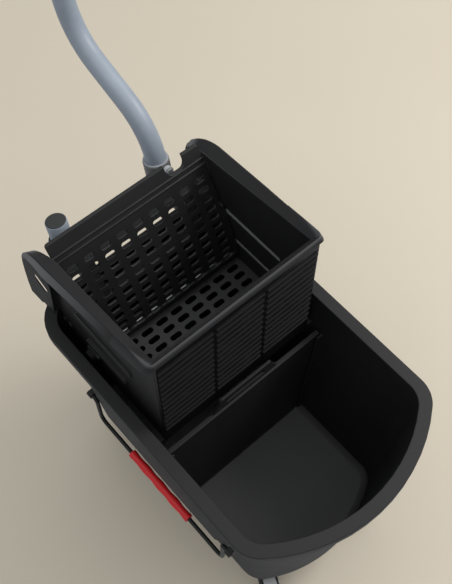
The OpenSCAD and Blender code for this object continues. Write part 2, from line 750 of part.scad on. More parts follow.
module bail_grip(side) color(grip_red) placed()
    translate([side * bail_x, bail_y - bail_grip_l / 2, bail_z - bail_drop]) rotate([-90, 0, 0]) rotate_extrude() {
        r = bail_grip_d / 2;
        round_r = 1.6;
        polygon(concat(
            [[wire_d / 2, 0]],
            arc([r - round_r, round_r], round_r, -90, 0, 4),
            arc([r - round_r, bail_grip_l - round_r], round_r, 0, 90, 4),
            [[wire_d / 2, bail_grip_l]]));
    }

// Castors, by their place along x and y

module castor_at(side, y) placed() translate([side * castor_x, y, 0]) children();
module swivelled(side, y) castor_at(side, y)
    rotate([0, 0, y < 0 ? -side * (180 - castor_toe) : 0]) children();

module castor_stem(side, y) color(steel) castor_at(side, y) {
    translate([0, 0, crown_z - 0.4]) cylinder(h = bottom_z - crown_z - 1, r = stem_r);
    translate([0, 0, boss_z - 1.1]) cylinder(h = 1.1, r = 14);
    translate([0, 0, crown_z - 3.4]) cylinder(h = 3, r = 8);
}

module castor_fork(side, y) color(black_plastic) swivelled(side, y) difference() {
    union() {
        translate([0, 0, crown_z]) cylinder(h = crown_t, r = 16);
        translate([-leg_out, 0, crown_z]) cube([2 * leg_out, trail * 0.7, crown_t]);
        both_sides() along_x(leg_in, leg_out) {
            polygon([[-10, crown_z + eps], [trail * 0.7, crown_z + eps], [trail + 6.5, axle_z + 1],
                     [trail - 6.5, axle_z - 1]]);
            translate([trail, axle_z]) circle(7);
            translate([-10, crown_z]) square([trail * 0.7 + 10, crown_t]);
        }
    }
    translate([0, 0, crown_z - 1]) cylinder(h = crown_t + 2, r = stem_r + run_fit);
    rod_x(-leg_out - 1, leg_out + 1, axle_r, [trail, axle_z]);
}

module castor_axle(side, y) color(steel) swivelled(side, y) {
    rod_x(-leg_out - 0.5, leg_out + 0.5, axle_r, [trail, axle_z]);
    both_sides() rod_x(leg_out, leg_out + 1.6, axle_r + 2, [trail, axle_z]);
}

module castor_hub(side, y) color(mid_grey) swivelled(side, y)
    translate([-wheel_w / 2, trail, axle_z]) rotate([0, 90, 0]) rotate_extrude() polygon([
        [axle_r + run_fit, 0.3], [8, 0.3], [9, 3], [wheel_d / 2 - 8, 3], [wheel_d / 2 - 6.5, 1],
        [wheel_d / 2 - 5, 1], [wheel_d / 2 - 5, wheel_w - 1], [wheel_d / 2 - 6.5, wheel_w - 1],
        [wheel_d / 2 - 8, wheel_w - 3], [9, wheel_w - 3], [8, wheel_w - 0.3], [axle_r + run_fit, wheel_w - 0.3]]);

module castor_tyre(side, y) color(light_grey) swivelled(side, y)
    translate([-wheel_w / 2, trail, axle_z]) rotate([0, 90, 0]) rotate_extrude() {
        shoulder = 3;
        polygon(concat(
            [[wheel_d / 2 - 5, 0]],
            arc([wheel_d / 2 - shoulder, shoulder], shoulder, -90, 0, 4),
            arc([wheel_d / 2 - shoulder, wheel_w - shoulder], shoulder, 0, 90, 4),
            [[wheel_d / 2 - 5, wheel_w]]));
    }

bucket_shell();
divider_panel();
left_cheek();
right_cheek();
louvre_front();
sieve_floor();
rear_beam();
pivot_rod();
rod_caps();
beam_screws();
press_jaw();
press_yoke();
spare_post();
post_cap();
lever_collar();
collar_ring();
lever_lock();
lever_tube();
lever_grip();
bail_wire(-1);  // bail_wire_left
bail_wire(1);  // bail_wire_right
bail_grip(-1);  // bail_grip_left
bail_grip(1);  // bail_grip_right
castor_stem(-1, castor_front);  // castor_stem_front_left
castor_stem(1, castor_front);  // castor_stem_front_right
castor_stem(-1, castor_back);  // castor_stem_back_left
castor_stem(1, castor_back);  // castor_stem_back_right
castor_fork(-1, castor_front);  // castor_fork_front_left
castor_fork(1, castor_front);  // castor_fork_front_right
castor_fork(-1, castor_back);  // castor_fork_back_left
castor_fork(1, castor_back);  // castor_fork_back_right
castor_axle(-1, castor_front);  // castor_axle_front_left
castor_axle(1, castor_front);  // castor_axle_front_right
castor_axle(-1, castor_back);  // castor_axle_back_left
castor_axle(1, castor_back);  // castor_axle_back_right
castor_hub(-1, castor_front);  // castor_hub_front_left
castor_hub(1, castor_front);  // castor_hub_front_right
castor_hub(-1, castor_back);  // castor_hub_back_left
castor_hub(1, castor_back);  // castor_hub_back_right
castor_tyre(-1, castor_front);  // castor_tyre_front_left
castor_tyre(1, castor_front);  // castor_tyre_front_right
castor_tyre(-1, castor_back);  // castor_tyre_back_left
castor_tyre(1, castor_back);  // castor_tyre_back_right
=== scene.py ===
"""Double mop bucket trolley: the looks of the part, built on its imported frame."""

import json
import math

import bmesh
import bpy
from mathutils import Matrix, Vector

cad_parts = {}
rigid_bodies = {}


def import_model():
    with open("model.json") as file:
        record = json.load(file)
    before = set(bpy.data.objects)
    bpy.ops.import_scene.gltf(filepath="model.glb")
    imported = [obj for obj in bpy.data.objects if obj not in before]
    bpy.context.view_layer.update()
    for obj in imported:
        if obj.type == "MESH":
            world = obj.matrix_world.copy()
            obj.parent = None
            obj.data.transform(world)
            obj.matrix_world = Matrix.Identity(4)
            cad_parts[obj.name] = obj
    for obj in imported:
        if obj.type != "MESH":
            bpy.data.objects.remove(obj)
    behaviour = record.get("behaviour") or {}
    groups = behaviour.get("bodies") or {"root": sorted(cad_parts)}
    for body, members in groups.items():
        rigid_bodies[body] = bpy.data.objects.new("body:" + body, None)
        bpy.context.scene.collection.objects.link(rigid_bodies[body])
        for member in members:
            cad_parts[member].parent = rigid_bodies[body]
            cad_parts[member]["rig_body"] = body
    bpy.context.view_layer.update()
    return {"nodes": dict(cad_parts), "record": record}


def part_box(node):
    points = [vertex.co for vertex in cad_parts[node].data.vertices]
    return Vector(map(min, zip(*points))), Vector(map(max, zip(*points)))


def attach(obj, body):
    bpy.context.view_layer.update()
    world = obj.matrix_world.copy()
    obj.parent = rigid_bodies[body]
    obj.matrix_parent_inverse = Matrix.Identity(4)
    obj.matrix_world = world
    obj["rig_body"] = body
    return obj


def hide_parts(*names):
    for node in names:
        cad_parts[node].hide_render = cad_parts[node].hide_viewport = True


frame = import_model()
scene = bpy.context.scene

# The set: a plain pale floor, an even studio sky that is brightest overhead, and
# one broad soft lamp high on the right. The camera looks down at 60 degrees over
# the left front corner.
scene.view_settings.view_transform = "Standard"

lens = bpy.data.cameras.new("camera")
lens.sensor_fit = "HORIZONTAL"
lens.sensor_width = 36.0
lens.lens = 72.5
camera = bpy.data.objects.new("camera", lens)
camera.location = (-0.3338, -0.4702, 1.3784)
camera.rotation_euler = (math.radians(30.07), 0.0, math.radians(-41.16))
scene.collection.objects.link(camera)
scene.camera = camera

lamp = bpy.data.lights.new("key_lamp", "AREA")
lamp.shape = "DISK"
lamp.size = 1.1
lamp.energy = 27.0
lamp.color = (1.0, 0.975, 0.94)
lamp_aim = Vector((0.0, 0.0, 0.3))
key = bpy.data.objects.new("key_lamp", lamp)
key.location = (1.55, -0.55, 1.9)
key.rotation_euler = (lamp_aim - key.location).to_track_quat("-Z", "Y").to_euler()
scene.collection.objects.link(key)


def linear(red, green, blue):
    """A colour as it is seen, 0 to 255, in Blender's linear values."""
    def channel(v):
        v /= 255.0
        return v / 12.92 if v <= 0.04045 else ((v + 0.055) / 1.055) ** 2.4
    return (channel(red), channel(green), channel(blue), 1.0)


def add(tree, kind, inputs=None, **settings):
    """A new node in a tree: its settings, and a value or a link for each named input."""
    made = tree.nodes.new(kind)
    for name, value in settings.items():
        setattr(made, name, value)
    for name, value in (inputs or {}).items():
        if isinstance(value, bpy.types.NodeSocket):
            tree.links.new(value, made.inputs[name])
        else:
            made.inputs[name].default_value = value
    return made


def coordinates(tree, space="Object"):
    """The place of the shaded point, in metres on a piece."""
    return add(tree, "ShaderNodeTexCoord").outputs[space]


def part_of(tree, vector, axis):
    """One axis of a place or a direction."""
    return add(tree, "ShaderNodeSeparateXYZ", {"Vector": vector}).outputs[axis]


def ranged(tree, value, low, high, to_low=0.0, to_high=1.0):
    """A value spread from one range onto another, and held within it."""
    inputs = {"Value": value, "From Min": low, "From Max": high,
              "To Min": to_low, "To Max": to_high}
    return add(tree, "ShaderNodeMapRange", inputs).outputs["Result"]


def mixed(tree, amount, first, second):
    """Two colours mixed: the first at 0, the second at 1."""
    inputs = {"Factor": amount, "A": first, "B": second}
    return add(tree, "ShaderNodeMix", inputs, data_type="RGBA").outputs["Result"]


def noise(tree, where, scale, detail, rough=0.5):
    """Smooth noise over a piece, as a value."""
    inputs = {"Vector": where, "Scale": scale, "Detail": detail, "Roughness": rough}
    return add(tree, "ShaderNodeTexNoise", inputs).outputs["Fac"]


sky_tint = (0.97, 0.985, 1.0, 1.0)
horizon_level, overhead_level = 0.17, 1.14
far_floor = linear(190, 182, 168)


def surround_light():
    """A studio sky; where the camera looks past the floor it sees the far floor's colour."""
    made = bpy.data.worlds.new("surround")
    made.use_nodes = True
    tree = made.node_tree
    sky = tree.nodes["Background"]
    height = part_of(tree, coordinates(tree, "Generated"), "Z")
    level = ranged(tree, height, 0.0, 1.0, horizon_level, overhead_level)
    seen = add(tree, "ShaderNodeLightPath").outputs["Is Camera Ray"]
    strength = add(tree, "ShaderNodeMix", {"Factor": seen, "A": level, "B": 1.0})
    tree.links.new(strength.outputs["Result"], sky.inputs["Strength"])
    tree.links.new(mixed(tree, seen, sky_tint, far_floor), sky.inputs["Color"])
    return made


scene.world = surround_light()


def mesh_piece(name, points, faces):
    """A piece made from points in metres and faces, shaded smooth."""
    mesh = bpy.data.meshes.new(name)
    mesh.from_pydata(points, [], faces)
    mesh.update()
    mesh.shade_smooth()
    piece = bpy.data.objects.new(name, mesh)
    scene.collection.objects.link(piece)
    return piece


floor_shade, floor_tone = linear(200, 190, 172), linear(206, 197, 180)
floor_bounce = linear(190, 190, 190)
floor_clouds = 2.2


def floor_finish():
    """A pale floor with faint clouds of tone; the light that it throws back is neutral."""
    made = bpy.data.materials.new("pale_floor")
    made.use_nodes = True
    tree = made.node_tree
    shader = tree.nodes["Principled BSDF"]
    cloud = noise(tree, coordinates(tree), floor_clouds, 4.0)
    tone = mixed(tree, cloud, floor_shade, floor_tone)
    seen = add(tree, "ShaderNodeLightPath").outputs["Is Camera Ray"]
    tree.links.new(mixed(tree, seen, floor_bounce, tone), shader.inputs["Base Color"])
    shader.inputs["Roughness"].default_value = 0.55
    shader.inputs["Specular IOR Level"].default_value = 0.3
    return made


floor_reach = 30.0
floor_corners = [(x * floor_reach, y * floor_reach, 0.0)
                 for x, y in ((-1, -1), (1, -1), (1, 1), (-1, 1))]
floor = mesh_piece("floor", floor_corners, [(0, 1, 2, 3)])
floor.data.materials.append(floor_finish())

# Bucket: one tub injection-moulded in black polypropylene, with its flat rim, side
# skirts, bail lugs and castor bosses in the same shot. The mould leaves a fine
# spark texture on its skin, and handling rubs its edges.


def product(tree, first, second):
    """Two values multiplied."""
    return add(tree, "ShaderNodeMath", {0: first, 1: second}, operation="MULTIPLY").outputs["Value"]


def effect(name, inputs, outputs):
    """An empty shader node group with named inputs and outputs."""
    tree = bpy.data.node_groups.new(name, "ShaderNodeTree")
    for label, kind, value in inputs:
        tree.interface.new_socket(label, in_out="INPUT", socket_type=kind).default_value = value
    for label, kind in outputs:
        tree.interface.new_socket(label, in_out="OUTPUT", socket_type=kind)
    return tree, tree.nodes.new("NodeGroupInput"), tree.nodes.new("NodeGroupOutput")


def moulded_skin():
    """Spark-eroded mould texture: fine height, and slow drifts of tone over the piece."""
    tree, given, result = effect(
        "moulded_skin",
        [("Grain", "NodeSocketFloat", 1500.0), ("Drift", "NodeSocketFloat", 14.0)],
        [("Height", "NodeSocketFloat"), ("Mottle", "NodeSocketFloat")])
    drift_low, drift_high = 0.3, 0.7
    where = coordinates(tree)
    fine = noise(tree, where, given.outputs["Grain"], 3.0, 0.6)
    slow = noise(tree, where, given.outputs["Drift"], 5.0, 0.62)
    tree.links.new(fine, result.inputs["Height"])
    tree.links.new(ranged(tree, slow, drift_low, drift_high), result.inputs["Mottle"])
    return tree


def rubbed_edges():
    """Edges broken by a small radius, and a mask where handling has rubbed them."""
    tree, given, result = effect(
        "rubbed_edges",
        [("Radius", "NodeSocketFloat", 0.001), ("Patches", "NodeSocketFloat", 45.0)],
        [("Normal", "NodeSocketVector"), ("Rubbed", "NodeSocketFloat")])
    bend_starts, bend_full = 0.995, 0.86
    patch_starts, patch_full = 0.42, 0.62
    broken = add(tree, "ShaderNodeBevel", {"Radius": given.outputs["Radius"]}, samples=6)
    broken = broken.outputs["Normal"]
    flat = add(tree, "ShaderNodeNewGeometry").outputs["Normal"]
    agree = add(tree, "ShaderNodeVectorMath", {0: broken, 1: flat}, operation="DOT_PRODUCT")
    edge = ranged(tree, agree.outputs["Value"], bend_starts, bend_full)
    patches = noise(tree, coordinates(tree), given.outputs["Patches"], 4.0)
    rubbed = product(tree, edge, ranged(tree, patches, patch_starts, patch_full))
    tree.links.new(broken, result.inputs["Normal"])
    tree.links.new(rubbed, result.inputs["Rubbed"])
    return tree


def fine_scratches():
    """Hairline scratches in two directions, as a mask."""
    tree, given, result = effect(
        "fine_scratches", [("Spacing", "NodeSocketFloat", 60.0)], [("Scratch", "NodeSocketFloat")])
    turns, tilt, stretch = (25.0, -40.0), (0.3, 0.2), (0.06, 1.0, 0.5)
    line_starts, line_full = 0.62, 0.72
    where = coordinates(tree)
    lines = []
    for turn in turns:
        inputs = {"Vector": where, "Rotation": tilt + (math.radians(turn),), "Scale": stretch}
        along = add(tree, "ShaderNodeMapping", inputs).outputs["Vector"]
        streak = noise(tree, along, given.outputs["Spacing"], 6.0, 0.7)
        lines.append(ranged(tree, streak, line_starts, line_full))
    most = add(tree, "ShaderNodeMath", {0: lines[0], 1: lines[1]}, operation="MAXIMUM")
    tree.links.new(most.outputs["Value"], result.inputs["Scratch"])
    return tree


skin_effect, edge_effect, scratch_effect = moulded_skin(), rubbed_edges(), fine_scratches()
shade_share = 0.82
rough_less, rough_more, scratch_gloss = 0.04, 0.05, 0.06
skin_strength = 0.6


def moulded(name, colour, rubbed, rough, grain=1500.0, depth=6e-5, edge=0.001, painted_light=None,
            **sockets):
    """A finish with slow drifts of tone, rubbed edges, hairline scratches and a fine skin.

    A painted-light tone, when given, is laid over that, and sockets are the shader's constants.
    """
    made = bpy.data.materials.new(name)
    made.use_nodes = True
    tree = made.node_tree
    shader = tree.nodes["Principled BSDF"]
    skin = add(tree, "ShaderNodeGroup", {"Grain": grain}, node_tree=skin_effect)
    edges = add(tree, "ShaderNodeGroup", {"Radius": edge}, node_tree=edge_effect)
    scratch = add(tree, "ShaderNodeGroup", node_tree=scratch_effect)
    shade = tuple(c * shade_share for c in colour[:3]) + (1.0,)
    tone = mixed(tree, skin.outputs["Mottle"], shade, colour)
    tone = mixed(tree, edges.outputs["Rubbed"], tone, rubbed)
    if painted_light:
        tone = painted_light(tree, tone)
    tree.links.new(tone, shader.inputs["Base Color"])
    drift = ranged(tree, skin.outputs["Mottle"], 0.0, 1.0, rough - rough_less, rough + rough_more)
    gloss = product(tree, scratch.outputs["Scratch"], scratch_gloss)
    total = add(tree, "ShaderNodeMath", {0: drift, 1: gloss}, operation="SUBTRACT")
    tree.links.new(total.outputs["Value"], shader.inputs["Roughness"])
    bump = add(tree, "ShaderNodeBump", {
        "Height": skin.outputs["Height"], "Normal": edges.outputs["Normal"],
        "Strength": skin_strength, "Distance": depth})
    tree.links.new(bump.outputs["Normal"], shader.inputs["Normal"])
    for label, value in sockets.items():
        shader.inputs[label.replace("_", " ")].default_value = value
    return made


def height_painted_light(start, full, tint):
    """Painted light: a tone that comes in over a piece between two heights, where light falls on
    it.
    """
    def laid(tree, tone):
        height = part_of(tree, coordinates(tree), "Z")
        return mixed(tree, ranged(tree, height, start, full), tone, tint)
    return laid


def dress(piece, node):
    """A piece takes the place of a frame node: the node is hidden, and the piece rides its body."""
    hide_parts(node)
    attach(piece, frame["nodes"][node]["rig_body"])


flat_angle, hard_angle, smooth_angle = (math.radians(a) for a in (0.4, 30.0, 38.0))
shortest_hard = 1.2


def softened(node, finish, edge, merge=6e-5, reshape=None):
    """A moulded copy of a frame node with its hard edges broken, riding where the node rides."""
    mesh = frame["nodes"][node].data.copy()
    work = bmesh.new()
    work.from_mesh(mesh)
    bmesh.ops.remove_doubles(work, verts=work.verts, dist=merge)
    bmesh.ops.dissolve_limit(work, angle_limit=flat_angle, verts=work.verts, edges=work.edges)
    if reshape:
        reshape(work)
    hard = [e for e in work.edges
            if len(e.link_faces) == 2 and e.calc_face_angle(0.0) > hard_angle
            and e.calc_length() > shortest_hard * edge]
    if edge and hard:
        bmesh.ops.bevel(work, geom=hard, offset=edge, segments=2, profile=0.5,
                        affect="EDGES", clamp_overlap=False)
    work.to_mesh(mesh)
    work.free()
    mesh.shade_smooth()
    mesh.set_sharp_from_angle(angle=smooth_angle)
    mesh.materials.clear()
    mesh.materials.append(finish)
    piece = bpy.data.objects.new("made_" + node, mesh)
    scene.collection.objects.link(piece)
    weigh = piece.modifiers.new("even_normals", "WEIGHTED_NORMAL")
    weigh.keep_sharp = True
    dress(piece, node)


# Painted light: the tub's inner floor is painted a lighter grey, fading out a little way up the
# walls, as if the light falling into the tub lit it.
bottom_z, floor_light_starts, floor_light_full = 0.079, 0.012, 0.001
painted_floor_light = height_painted_light(bottom_z + floor_light_starts, bottom_z + floor_light_full, linear(80, 80, 80))
bucket_black = moulded("bucket_black", linear(32, 32, 33), linear(60, 60, 61), 0.56,
                       painted_light=painted_floor_light, Specular_IOR_Level=0.32)
back_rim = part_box("bucket_shell")[1][1]
back_band, back_draw = 0.010, 0.8
bucket_merge = 3e-4


def narrow_back_rim(work):
    """The rim is narrower along the back, where the wringer's hooks go over it."""
    for v in work.verts:
        past = v.co.y - (back_rim - back_band)
        if past > 0:
            v.co.y -= past * (1 - back_draw)


softened("bucket_shell", bucket_black, 0.0012, merge=bucket_merge, reshape=narrow_back_rim)

# Divider: a ribbed sheet with a lifting tab, moulded from the same black plastic as
# the bucket. It drops between two guides on the side walls.
softened("divider_panel", bucket_black, 0.0008)

# Wringer cheeks: the two side walls of the wringer, moulded in black polypropylene.
# Each has a flange with a round crest and a leaning outer lip, and a thin tail with
# a finger slot that hooks over the bucket's back rim.
wringer_grain = 1700.0
cheek_colour, cheek_rubbed = linear(37, 37, 38), linear(92, 92, 93)
# Painted highlight on the cheeks' outer lips: faces that lean up and out get a lighter grey.
lip_low, lip_high, lip_fade = 0.12, 0.75, 0.12
lip_starts, lip_full = -0.05, 0.08
lip_highlight_grey = linear(104, 104, 106)


def painted_lip_highlight(tree, tone):
    """Painted highlight: the leaning outer lip is painted greyer than the wall, as light falling on
    its upward slope would show it, and that fades towards the front rim.
    """
    lean = part_of(tree, add(tree, "ShaderNodeNewGeometry").outputs["Normal"], "Z")
    rise = ranged(tree, lean, lip_low, lip_low + lip_fade)
    fall = ranged(tree, lean, lip_high, lip_high - lip_fade)
    along = ranged(tree, part_of(tree, coordinates(tree), "Y"), lip_starts, lip_full)
    return mixed(tree, product(tree, product(tree, rise, fall), along), tone, lip_highlight_grey)


cheek_black = moulded("cheek_black", cheek_colour, cheek_rubbed, 0.6, grain=wringer_grain,
                      edge=0.0012, painted_light=painted_lip_highlight, Specular_IOR_Level=0.2)
crest_round = 0.0024
crest_x = 0.1272
crest_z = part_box("right_cheek")[1][2]
bead_inset = 0.0044
bead_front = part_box("louvre_front")[0][1] + bead_inset
corner_radius = 0.008
corner_depth, corner_flare, flare_depth, corner_tuck = 0.022, 0.4, 0.014, 0.0005


def round_corners(work):
    """The front corners of the edge are drawn in to a round plan, under the rolled rim."""
    for v in work.verts:
        down = crest_z - v.co.z
        out = abs(v.co.x) - (crest_x - corner_radius)
        ahead = bead_front + corner_radius - v.co.y
        if down < corner_depth and out > 0 and ahead > 0:
            room = corner_radius + corner_flare * min(max(down, 0.0), flare_depth) - corner_tuck
            far = math.hypot(out, ahead)
            if far > room:
                v.co.x -= math.copysign(out * (1 - room / far), v.co.x)
                v.co.y += ahead * (1 - room / far)


tail_face, tail_wall = 0.1312, 0.0014
tail_inner, tail_hollow, tail_front, tail_below = 0.126, 0.1274, 0.08, 0.05
face_slack = 0.0002
slot_middle, slot_turn = Vector((0.1064, 0.419)), math.radians(28.0)
slot_reach, slot_half, slot_widen = 0.0146, 0.005, 1.7


def thin_tail(work):
    """The tail panel is a thin wall, and its finger slot opens wider through it."""
    along = Vector((math.cos(slot_turn), math.sin(slot_turn)))
    across = Vector((-along.y, along.x))
    for v in work.verts:
        x, place = abs(v.co.x), Vector((v.co.y, v.co.z)) - slot_middle
        if x < tail_inner or v.co.y < tail_front or x > tail_face + face_slack:
            continue
        if abs(place.dot(along)) < slot_reach and abs(place.dot(across)) < slot_half:
            widened = across * place.dot(across) * slot_widen
            v.co.y, v.co.z = slot_middle + along * place.dot(along) + widened
        if x < tail_hollow and v.co.z < crest_z - tail_below:
            v.co.x = math.copysign(tail_face - tail_wall, v.co.x)


facing, flange_lean, lip_lean = 0.55, 0.15, 0.05


def round_crest(work):
    """The crest between a cheek's flange and its outer lip gets a full radius."""
    crest = []
    for e in work.edges:
        if len(e.link_faces) != 2:
            continue
        side = 1.0 if e.verts[0].co.x > 0 else -1.0
        top, lip = sorted(e.link_faces, key=lambda f: f.normal.x * side)
        flange = top.normal.z > facing and top.normal.x * side < -flange_lean
        if flange and lip.normal.x * side > facing and lip.normal.z > lip_lean:
            crest.append(e)
    bmesh.ops.bevel(work, geom=crest, offset=crest_round, segments=4, profile=0.5,
                    affect="EDGES", clamp_overlap=True)
    round_corners(work)
    thin_tail(work)


for node in ("left_cheek", "right_cheek"):
    softened(node, cheek_black, 0.0006, reshape=round_crest)

# Louvred front: the wringer's front wall, with three columns of open, overlapping
# blades that shed water into the bucket. One black moulding, held between the cheeks.
# The light colour on the louvres' rubbed edges is partly wear and partly painted highlight, picking
# out the blade noses as if light caught them.
louvre_black = moulded("louvre_black", linear(20, 20, 21), linear(110, 110, 111), 0.42,
                       grain=wringer_grain, edge=0.0006, Specular_IOR_Level=0.14)
wall_edge = 0.121
column_inner, column_edge, wide_edge = 0.0398, 0.112, 0.1186
louvres_below = 0.009


def widen_louvres(work):
    """The outer columns of louvres run almost to the wall's edges."""
    wider = (wide_edge - column_inner) / (column_edge - column_inner)
    narrower = (wall_edge - wide_edge) / (wall_edge - column_edge)
    for v in work.verts:
        x = abs(v.co.x)
        if v.co.z < crest_z - louvres_below and column_inner < x < wall_edge:
            if x <= column_edge:
                x = column_inner + (x - column_inner) * wider
            else:
                x = wide_edge + (x - column_edge) * narrower
            v.co.x = math.copysign(x, v.co.x)
    round_corners(work)


softened("louvre_front", louvre_black, 0.0004, reshape=widen_louvres)

# Rear beam: a black moulded bar across the back of the wringer, between the cheeks'
# tails. The screws through the cheeks go into its ends.
wringer_black = moulded("wringer_black", cheek_colour, cheek_rubbed, 0.6, grain=wringer_grain,
                        edge=0.0012, Specular_IOR_Level=0.2)
softened("rear_beam", wringer_black, 0.0006)

# Sieve floor: the perforated bottom of the wringer, through which the water drains.
# It is moulded in black with a smooth skin and is held between the cheeks.
sieve_black = moulded("sieve_black", linear(58, 58, 59), linear(84, 84, 85), 0.42,
                      grain=wringer_grain, Specular_IOR_Level=0.25)
sieve_back, sieve_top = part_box("sieve_floor")[1][1:]
sieve_reach, sieve_rib = 0.0175, 0.0045
drain_row, drain_pitch, drain_columns = sieve_back + 0.0057, 0.0247, 9
drain_length, drain_width, drain_steps = 0.0175, 0.008, 8
cut_below, cut_above, cut_merge = 0.006, 0.002, 5e-5


def round_ended(start, end, middle, half, steps):
    """Outline of a bar with round ends, as (along, across) points."""
    outline = []
    for centre, first in ((end - half, -90.0), (start + half, 90.0)):
        for k in range(steps + 1):
            a = math.radians(first + 180.0 * k / steps)
            outline.append((centre + half * math.cos(a), middle + half * math.sin(a)))
    return outline


def drain_cutters():
    """One plug for each slot in a row of drain slots."""
    cutters = bmesh.new()
    for column in range(drain_columns):
        middle = (column - (drain_columns - 1) / 2) * drain_pitch
        ring = round_ended(middle - drain_length / 2, middle + drain_length / 2,
                           drain_row, drain_width / 2, drain_steps)
        low = [cutters.verts.new((x, y, sieve_top - cut_below)) for x, y in ring]
        high = [cutters.verts.new((x, y, sieve_top + cut_above)) for x, y in ring]
        cutters.faces.new(list(reversed(low)))
        cutters.faces.new(high)
        for k in range(len(ring)):
            n = (k + 1) % len(ring)
            cutters.faces.new((low[k], low[n], high[n], high[k]))
    return cutters


def last_drain_row(work):
    """The floor runs on under the jaw's foot, with one more row of drain slots."""
    for v in work.verts:
        if v.co.y > sieve_back - sieve_rib:
            v.co.y += sieve_reach
    cutters = drain_cutters()
    pair = []
    for name, source in (("sieve_plate", work), ("drain_cutters", cutters)):
        mesh = bpy.data.meshes.new(name)
        source.to_mesh(mesh)
        pair.append(bpy.data.objects.new(name, mesh))
        scene.collection.objects.link(pair[-1])
    cutters.free()
    plate, tool = pair
    cut = plate.modifiers.new("drain_slots", "BOOLEAN")
    cut.operation, cut.solver, cut.object = "DIFFERENCE", "EXACT", tool
    ready = plate.evaluated_get(bpy.context.evaluated_depsgraph_get())
    result = bpy.data.meshes.new_from_object(ready)
    work.clear()
    work.from_mesh(result)
    bmesh.ops.remove_doubles(work, verts=work.verts, dist=cut_merge)
    bmesh.ops.dissolve_limit(work, angle_limit=flat_angle, verts=work.verts, edges=work.edges)
    for piece in pair:
        bpy.data.meshes.remove(piece.data)
    bpy.data.meshes.remove(result)


softened("sieve_floor", sieve_black, 0.0006, reshape=last_drain_row)

# Front rim: the rolled edge over the louvred wall, moulded in black. It turns round
# both front corners in one bead and runs out into the cheeks' flanges.
# Painted highlight: the top of the rolled crest is painted a lighter grey, as light from above
# picks it out.
painted_crest_highlight = height_painted_light(crest_z - 0.0042, crest_z - 0.0022, linear(68, 68, 69))
rim_black = moulded("rim_black", linear(38, 38, 39), linear(80, 80, 81), 0.4,
                    grain=wringer_grain, edge=0.0004, painted_light=painted_crest_highlight,
                    Specular_IOR_Level=0.25, Specular_Tint=(0.7, 0.72, 0.75, 1.0))
swept_angle = math.radians(50.0)


def faced(piece, finish, merge=0.0):
    """A swept piece gets its faces turned outwards, its sharp corners and its finish."""
    work = bmesh.new()
    work.from_mesh(piece.data)
    if merge:
        bmesh.ops.remove_doubles(work, verts=work.verts, dist=merge)
    bmesh.ops.recalc_face_normals(work, faces=work.faces)
    work.to_mesh(piece.data)
    work.free()
    piece.data.shade_smooth()
    piece.data.set_sharp_from_angle(angle=swept_angle)
    piece.data.materials.append(finish)
    return piece


def soft_corner(before, at, after, cut, steps):
    """Points on a rounded corner between two straight runs."""
    a = at + (before - at).normalized() * cut
    b = at + (after - at).normalized() * cut
    return [a.lerp(at, t).lerp(at.lerp(b, t), t) for t in (k / (steps - 1) for k in range(steps))]


crest_proud = 0.00015
hem_offset, under_edge, rim_wall = (-0.0034, 0.0003), (-0.001, 0.0036), 0.0014
inner_round, lip_round = 0.0003, 0.0006


def rim_section(inner, lip, cut):
    """Section of the rim as (outward, down) points: slope, rolled crest, lip and underside."""
    inner, lip, crest = Vector(inner), Vector(lip), Vector((0.0, -crest_proud))
    hem, below = lip + Vector(hem_offset), inner + Vector((0.0, rim_wall))
    ring = soft_corner(below, inner, crest, inner_round, 3)
    ring += soft_corner(inner, crest, lip, cut, 5) + soft_corner(crest, lip, hem, lip_round, 3)
    return ring + [hem, Vector(under_edge), below]


side_cut = rim_section((-0.0115, 0.0082), (0.0063, 0.0143), crest_round)
front_cut = rim_section((-0.0092, 0.0083), (0.0038, 0.0070), 0.0018)
flange_fall, flange_spread, flange_start = 0.1146, 0.0323, 0.0042
rim_lift, rim_drop = 0.0002, 0.0011
sink_starts, sink_run, sink = 0.030, 0.030, 0.0006
cheek_stations, turn_steps, straight_half = (0.060, 0.045, 0.030, 0.016), 10, 0.05
tightest_bend = 0.0015


def crest_level(back):
    """Height of the crest behind the bead: it follows the flange, and sinks into it at the end."""
    sunk = sink * max(0.0, (back - sink_starts) / sink_run)
    return crest_z + rim_lift - flange_fall * (back - flange_start) - sunk


def front_rim():
    """The bead: sections along the flange, round the corner and on the front, then mirrored."""
    half = []
    for back in cheek_stations:
        half.append([(crest_x + flange_spread * back + u, bead_front + back, crest_level(back) - w)
                     for u, w in side_cut])
    for k in range(turn_steps + 1):
        share = k / turn_steps
        ahead, out = math.sin(math.pi / 2 * share), math.cos(math.pi / 2 * share)
        share = share * share * (3 - 2 * share)
        level = crest_level(corner_radius * (1 - ahead)) - rim_drop * share
        ring = []
        for side, front in zip(side_cut, front_cut):
            u, w = side.lerp(front, share)
            bend = max(tightest_bend, corner_radius + u)
            ring.append((crest_x + side.x - bend + bend * out + (u - side.x) * out,
                         bead_front - front.x + bend - bend * ahead + (front.x - u) * ahead,
                         level - w))
        half.append(ring)
    half.append([(straight_half, bead_front - u, crest_level(0.0) - rim_drop - w)
                 for u, w in front_cut])
    rings = half + [[(-x, y, z) for x, y, z in ring] for ring in reversed(half)]
    points = [p for ring in rings for p in ring]
    n, rows = len(side_cut), len(rings)
    faces = []
    for row in range(rows - 1):
        for k in range(n):
            a, b = row * n + k, row * n + (k + 1) % n
            faces.append((a, b, b + n, a + n))
    faces += [tuple(reversed(range(n))), tuple(range((rows - 1) * n, rows * n))]
    rim = faced(mesh_piece("front_rim", points, faces), rim_black)
    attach(rim, frame["nodes"]["louvre_front"]["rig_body"])


front_rim()

